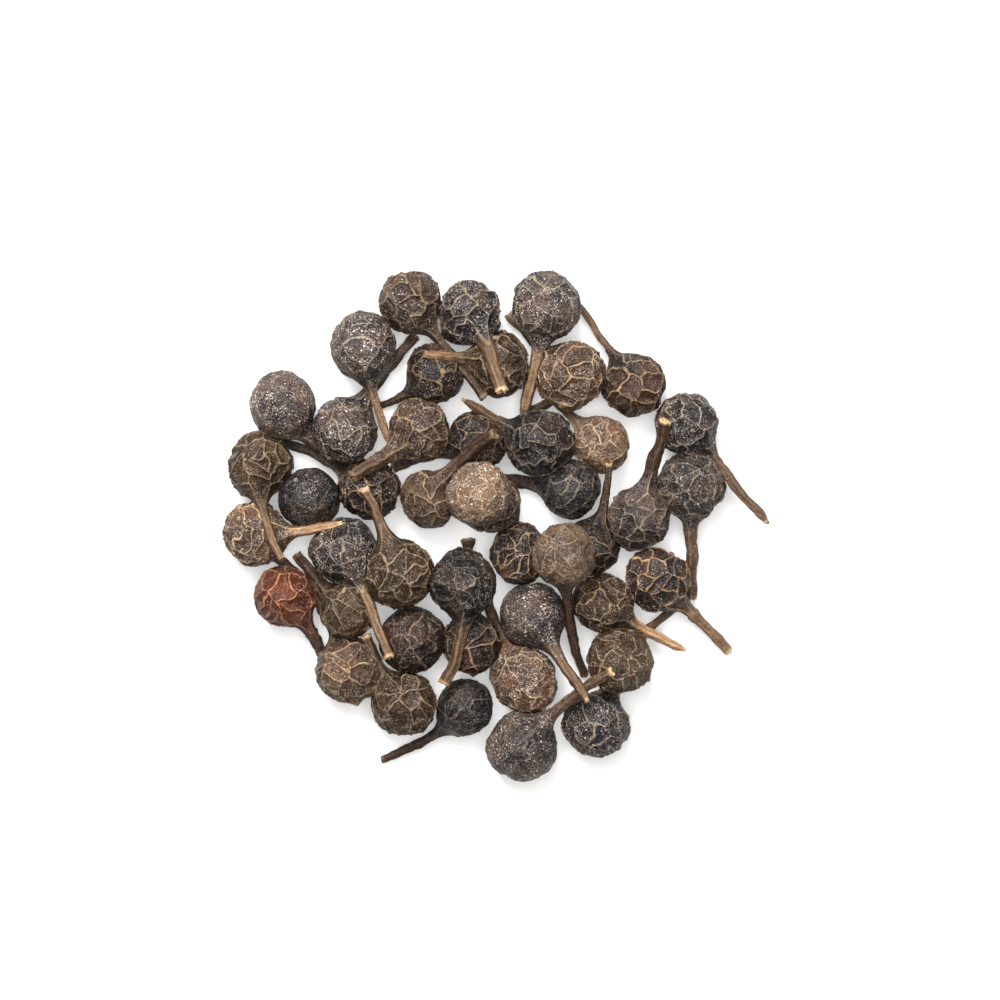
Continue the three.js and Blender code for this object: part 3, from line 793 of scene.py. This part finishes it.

# %% [markdown]
# ## Bare skin
#
# The skin of a dried berry is matt and rough. Close up it is a dark ground with brown stains
# and a salt of paler grains, and whitish specks: wax on its finest wrinkles, and painted glints
# in place of the gloss that the material turns down.
# Four noises of different sizes make these. A photo wrapped round the ball would show a seam.

# %% The ground of the skin
GRAIN_MM = 0.16  # the finest wrinkles; finer ones would not show in the render
# the whitish specks are wax, and painted glints that stand in for the gloss of the wax
WAX_AND_GLINT_MM = 0.13  # whitish specks on those wrinkles
MOTTLE_MM = 0.9  # patches of darker and lighter skin
STAIN_MM = 2.6  # broad brown stains
# colour of the whitish specks: wax, and painted glints
WAX_AND_GLINT = "a09487"
Skin = namedtuple("Skin", "name ground grain stain vein")


def skin_ground(add, in_mm, marks, skin):
    """Bare skin's colour, how much wax and painted glint is on it, and its finest wrinkles."""
    stains = add({"Vector": in_mm, "Scale": 1 / STAIN_MM}, **NOISE)
    mottle = add({"Vector": in_mm, "Scale": 1 / MOTTLE_MM, "Detail": 3.0}, **NOISE)
    grain = add({"Vector": in_mm, "Scale": 1 / GRAIN_MM, "Detail": 1.0}, **NOISE)
    specks = add({"Vector": in_mm, "Scale": 1 / WAX_AND_GLINT_MM, "Detail": 1.0}, **NOISE)

    stained = add({0: stains, 1: 0.45, 2: 0.65}, **EASED)
    ground = add({0: stained, 6: linear(skin.ground), 7: linear(skin.stain)}, **MIXED)
    on_grain = add({0: grain, 1: 0.42, 2: 0.68}, **EASED)
    in_patch = add({0: mottle, 1: 0.25, 2: 0.7, 3: 0.25}, **EASED)
    grainy = add({0: on_grain, 1: in_patch}, **TIMES)
    ground = add({0: grainy, 6: ground, 7: linear(skin.grain)}, **MIXED)

    # whitish specks: wax, and painted glints in place of the gloss that is turned down
    on_speck = add({0: specks, 1: 0.56, 2: 0.68, 4: 0.8}, **EASED)
    in_patch = add({0: mottle, 1: 0.4, 2: 0.62, 3: 0.15}, **EASED)
    by_dust_and_glints = add({0: marks["dust"], 1: 0.0, 2: 0.7, 3: 0.4}, **EASED)
    wax_and_glints = add({0: on_speck, 1: in_patch}, **TIMES)
    wax_and_glints = add({0: wax_and_glints, 1: by_dust_and_glints}, **TIMES)
    return add({0: wax_and_glints, 6: ground, 7: linear(WAX_AND_GLINT)}, **MIXED), wax_and_glints, grain


print("stains are about", STAIN_MM, "mm wide and grains", GRAIN_MM, "mm")

# %% [markdown]
# ## The colour of veins
#
# The veins are tan lines a tenth or two of a millimetre wide, greyer where they are weak and
# worn away here and there. Their colour follows the distance from a vein that each point of
# the mesh keeps, so it always lies on the crest.

# %% Veins over the ground
VEIN_MM = 0.06  # half width of a vein's colour
WEAR_MM = 0.5  # length of the worn bits
WEAK_VEIN = "675b4d"


def with_veins(add, in_mm, marks, colour, skin):
    crest = {0: marks["from_vein"], 1: 0.25 * VEIN_MM, 2: 1.4 * VEIN_MM, 3: 1.0, 4: 0.0}
    near = add(crest, **EASED)
    strong = add({0: marks["vein"], 1: 0.05, 2: 0.6}, **EASED)
    wear = add({"Vector": in_mm, "Scale": 1 / WEAR_MM}, **NOISE)
    left = add({0: wear, 1: 0.3, 2: 0.6, 3: 0.45}, **EASED)
    drawn = add({0: near, 1: strong}, **TIMES)
    drawn = add({0: drawn, 1: left}, **TIMES)
    tan = add({0: marks["vein"], 1: 0.3, 2: 0.9}, **EASED)
    vein = add({0: tan, 6: linear(WEAK_VEIN), 7: linear(skin.vein)}, **MIXED)
    return add({0: drawn, 6: colour, 7: vein}, **MIXED)


print("a vein's colour fades out", round(1.4 * VEIN_MM, 3), "mm from its middle")

# %% [markdown]
# ## Dust and painted glints
#
# Grains of pale dust lie on some berries, loosely scattered and thicker in drifts, and the
# same pale grains stand in as painted glints of light on the skin. Random cells give each grain
# a place, and only the cells that draw a high number hold one.

# %% Dust and painted glints over the skin
DUST_AND_GLINT_MM = 0.3  # mean distance between the places where a grain may lie
DRIFT_MM = 1.4  # width of a drift
# colour of the pale grains: dust, and painted glints
DUST_AND_GLINT = "b8b1a8"


def with_dust_and_glints(add, in_mm, marks, colour):
    # the pale grains are dust, and also painted glints of light on the skin
    from_grain = add({"Vector": in_mm, "Scale": 1 / DUST_AND_GLINT_MM}, "ShaderNodeTexVoronoi", "Distance")
    on_grain = add({0: from_grain, 1: 0.16, 2: 0.3, 3: 1.0, 4: 0.0}, **EASED)
    lot = add({0: from_grain.node.outputs["Color"], 1: 0.55, 2: 0.75}, **EASED)
    drift = add({"Vector": in_mm, "Scale": 1 / DRIFT_MM}, **NOISE)
    in_drift = add({0: drift, 1: 0.35, 2: 0.6, 3: 0.3}, **EASED)
    pale_grains = add({0: on_grain, 1: lot}, **TIMES)
    thick = add({0: marks["dust"], 1: in_drift}, **TIMES)
    dust_and_glint_cover = add({0: pale_grains, 1: thick}, **TIMES)
    return add({0: dust_and_glint_cover, 6: colour, 7: linear(DUST_AND_GLINT)}, **MIXED)


print("about", round(1 / DUST_AND_GLINT_MM**2), "grains of dust fit on a square millimetre")

# %% [markdown]
# ## The wood of a stalk
#
# A stalk is a woody fibre bundle, weathered from pale straw to nearly black, with painted
# shade darkening its grooves. Its streaks are one noise in the fibres' own frame, which draws it out.

# %% Weathered wood
STREAK_MM = 0.13
DARK_WOOD, PALE_WOOD = "33231b", "8e6e50"


def stalk_wood(add, marks, wax_and_glints):
    streaks = add({"Vector": marks["fibre"], "Scale": 1 / STREAK_MM}, **NOISE)
    streaked = add({0: streaks, 1: 0.35, 2: 0.65, 3: 0.6, 4: 1.15}, **EASED)
    # painted shade: the grooves between the stalk's ridges are darkened to 0.6 of the ridges
    painted_groove_shade = add({0: marks["from_vein"], 1: 0.05, 2: 0.2, 3: 1.0, 4: 0.6}, **EASED)
    paleness = add({0: marks["wood"], 1: marks["wood"]}, **TIMES)
    colour = add({0: paleness, 6: linear(DARK_WOOD), 7: linear(PALE_WOOD)}, **MIXED)
    # the wood's streaks times the painted shade of the grooves
    light = add({0: streaked, 1: painted_groove_shade}, **TIMES)
    colour = add({0: colour, 3: light}, **SCALED)
    # some wax on the stalk too, with its painted glints
    some_wax_and_glints = add({0: wax_and_glints, 1: 0.35}, **TIMES)
    return add({0: some_wax_and_glints, 6: colour, 7: linear(WAX_AND_GLINT)}, **MIXED)


print("wood goes from", DARK_WOOD, "to", PALE_WOOD)

# %% [markdown]
# ## Dried berry skin
#
# Skin and stalk are one surface, so they are one material that turns from skin to wood along
# the neck, and to straw where the stalk was cut. Wax has an index of refraction of about 1.45,
# but a crumpled surface scatters its gloss, so that is turned down, and its glints are painted
# into the colour as pale specks instead. The finest wrinkles are a bump, as they would take
# millions of points in the mesh.

# %% The whole material
STRAW = "b0916f"
CREASE_MM = 0.4  # small creases between the wrinkles
RELIEF_MM = 0.12  # depth of the wrinkles; more than in life, as they are drawn coarser
MARKS = {name: "Vector" if name == "fibre" else "Fac" for name in marks}  # how each is read


def dried_skin(skin):
    material = bpy.data.materials.new(skin.name)
    material.use_nodes = True
    tree = material.node_tree
    add = partial(add_node, tree)
    marks = {name: add({}, "ShaderNodeAttribute", out, attribute_name=name) for name, out in MARKS.items()}
    place = add({}, "ShaderNodeTexCoord", "Object")
    in_mm = add({0: place, 3: 1 / MM}, **SCALED)
    ground, wax_and_glints, grain = skin_ground(add, in_mm, marks, skin)
    colour = with_dust_and_glints(add, in_mm, marks, with_veins(add, in_mm, marks, ground, skin))

    woody = add({0: marks["stalk"], 1: 0.45, 2: 0.98}, **EASED)
    colour = add({0: woody, 6: colour, 7: stalk_wood(add, marks, wax_and_glints)}, **MIXED)
    colour = add({0: marks["tip"], 6: colour, 7: linear(STRAW)}, **MIXED)
    light = add({0: marks["shade"], 1: -1.2, 2: 1.2, 3: 0.55, 4: 1.6}, **EASED)
    colour = add({0: colour, 3: light}, **SCALED)

    creases = add({"Vector": in_mm, "Scale": 1 / CREASE_MM}, **NOISE)
    height = add({0: grain, 1: 0.7, 2: creases}, "ShaderNodeMath", operation="MULTIPLY_ADD")
    relief = add({"Strength": 1.0, "Distance": RELIEF_MM * MM, "Height": height}, "ShaderNodeBump")
    shader = tree.nodes["Principled BSDF"]
    tree.links.new(colour, shader.inputs["Base Color"])
    tree.links.new(relief, shader.inputs["Normal"])
    shader.inputs["Roughness"].default_value = 0.45
    shader.inputs["IOR"].default_value = 1.45
    shader.inputs["Specular IOR Level"].default_value = 0.18
    return material


print("the material reads", ", ".join(MARKS))

# %% [markdown]
# ## Shades of skin
#
# Every skin here is the same stuff in a few shades: blue-black, slate grey, dark brown, olive,
# warm brown, pale brown and russet. For each, four colours are given: the dark ground, its
# paler grains, its stains and its strongest veins.

# %% The shades of skin
SKINS = {
    "blue": Skin("dried_skin_blue_black", "0d0c0d", "413b3a", "2a1e16", "75675a"),
    "slate": Skin("dried_skin_slate_grey", "161314", "544a46", "33261e", "776957"),
    "dark": Skin("dried_skin_dark_brown", "110c0a", "3b2f2a", "301e15", "80664c"),
    "olive": Skin("dried_skin_olive_brown", "1b130b", "4c3a2a", "2d1e10", "786650"),
    "warm": Skin("dried_skin_warm_brown", "221914", "5c493b", "3c281a", "7f6950"),
    "pale": Skin("dried_skin_pale_brown", "352920", "756050", "483525", "866f58"),
    "russet": Skin("dried_skin_russet", "2e140c", "663a29", "431f10", "8a6243"),
}
materials = {kind: dried_skin(skin) for kind, skin in SKINS.items()}
print(len(materials), "shades:", ", ".join(skin.name for skin in SKINS.values()))

# %% [markdown]
# ## Building the pieces
#
# Forty-six separate objects would be clumsy, and one would be too heavy to handle. All berries
# with the same skin are one mesh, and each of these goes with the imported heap.

# %% A mesh from arrays
def mesh_from(name, points, faces, marks):
    """A smooth mesh of four-cornered faces, with each mark kept on its points."""
    mesh = bpy.data.meshes.new(name)
    mesh.vertices.add(len(points))
    mesh.vertices.foreach_set("co", (points * MM).astype(np.float32).ravel())
    mesh.loops.add(faces.size)
    mesh.loops.foreach_set("vertex_index", faces.astype(np.int32).ravel())
    mesh.polygons.add(len(faces))
    mesh.polygons.foreach_set("loop_start", np.arange(0, faces.size, 4, dtype=np.int32))
    mesh.update(calc_edges=True)
    mesh.polygons.foreach_set("use_smooth", np.ones(len(faces), bool))
    for mark, values in marks.items():
        kind, field = ("FLOAT_VECTOR", "vector") if values.ndim == 2 else ("FLOAT", "value")
        attribute = mesh.attributes.new(mark, kind, "POINT")
        attribute.data.foreach_set(field, values.astype(np.float32).ravel())
    mesh.validate()
    return mesh


# %% One piece for each skin
for kind, material in materials.items():
    made = [whole_berry(berry, i) for i, berry in enumerate(berries) if berry.row.skin == kind]
    all_points = np.concatenate([points for points, _ in made])
    all_faces = np.concatenate([faces + i * point_count for i in range(len(made))])
    all_marks = {name: np.concatenate([marks[name] for _, marks in made]) for name in made[0][1]}
    mesh = mesh_from(f"berries_{kind}", all_points, all_faces, all_marks)
    mesh.materials.append(material)
    piece = bpy.data.objects.new(f"berries_{kind}", mesh)
    bpy.context.scene.collection.objects.link(piece)
    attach(piece, "root")
    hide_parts("cubeb_heap")
    print(f"{piece.name}: {len(made)} berries, {2 * len(all_faces)} triangles")

# %% [markdown]
# ## Surface, light and camera
#
# Small goods are often photographed on a light table: a white sheet that glows faintly from
# below, so that only the tight gaps between the goods stay grey. Here the sheet glows too. A
# broad softbox straight above lights the tops of the berries, a smaller one makes the side at
# the top of the picture a little brighter, and a dim white sky fills in the rest.

# %% The surface
FLOOR_WIDTH = 1.2
FLOOR_DEPTH = -0.01 * MM  # just below the flat spots
FIBRE_MM = 2  # size of the faint clouds in the sheet
GLOW = 0.3
floor_mesh = bpy.data.meshes.new("white_card")
half_floor = FLOOR_WIDTH / 2
signs = ((-1, -1), (1, -1), (1, 1), (-1, 1))
floor_corners = [(x * half_floor, y * half_floor, FLOOR_DEPTH) for x, y in signs]
floor_mesh.from_pydata(floor_corners, [], [(0, 1, 2, 3)])
card = bpy.data.materials.new("matt_light_table")
card.use_nodes = True
card_shader = card.node_tree.nodes["Principled BSDF"]
fibres = add_node(card.node_tree, {"Scale": 1 / (FIBRE_MM * MM), "Detail": 4.0}, **NOISE)
sheet = add_node(card.node_tree, {0: fibres, 6: linear("bfbebc"), 7: linear("c4c3c1")}, **MIXED)
card.node_tree.links.new(sheet, card_shader.inputs["Base Color"])
card_shader.inputs["Roughness"].default_value = 0.9
card_shader.inputs["Emission Color"].default_value = (1, 1, 1, 1)
card_shader.inputs["Emission Strength"].default_value = GLOW
floor_mesh.materials.append(card)
floor = bpy.data.objects.new("white_card", floor_mesh)
bpy.context.scene.collection.objects.link(floor)
print("the sheet is", FLOOR_WIDTH, "m wide and glows at", GLOW)

# %% The light
SKY = 0.12
scene = bpy.context.scene
scene.view_settings.view_transform = "Standard"
sky = bpy.data.worlds.new("white_studio")
sky.use_nodes = True
sky.node_tree.nodes["Background"].inputs["Color"].default_value = (1, 1, 1, 1)
sky.node_tree.nodes["Background"].inputs["Strength"].default_value = SKY
scene.world = sky


def softbox(name, place, width, power):
    """A square lamp that points at the heap, with its place and width in metres."""
    light = bpy.data.lights.new(name, "AREA")
    light.size = width
    light.energy = power
    lamp = bpy.data.objects.new(name, light)
    scene.collection.objects.link(lamp)
    lamp.location = place
    lamp.rotation_mode = "QUATERNION"
    lamp.rotation_quaternion = lamp.location.to_track_quat("Z", "Y")


softbox("softbox_above", (0, 0.05, 0.6), 0.5, 6.0)
softbox("softbox_top", (-0.12, 0.38, 0.5), 0.3, 7.5)

# %% [markdown]
# The camera looks straight down from four tenths of a metre, with a long lens. The square
# picture is 80 mm wide at about the height of the lower berries' middles.

# %% The camera
CAMERA_HEIGHT = 0.4
PICTURE_WIDTH = 80 * MM
PICTURE_MIDDLE = np.array([0.34, 2.16])  # the middle of the picture, in the frame of the list
MEASURED_AT = 3 * MM  # height over the surface at which the picture has that width
FILM_WIDTH = 36  # in mm, for the lens
NEAREST = 0.01  # in metres
view = bpy.data.cameras.new("camera")
view.sensor_width = FILM_WIDTH
view.lens = view.sensor_width * CAMERA_HEIGHT / PICTURE_WIDTH
view.clip_start = NEAREST
camera = bpy.data.objects.new("camera", view)
scene.collection.objects.link(camera)
camera.location = (*(PICTURE_MIDDLE - MIDDLE) * MM, MEASURED_AT + CAMERA_HEIGHT)
scene.camera = camera
print("lens:", round(view.lens), "mm")
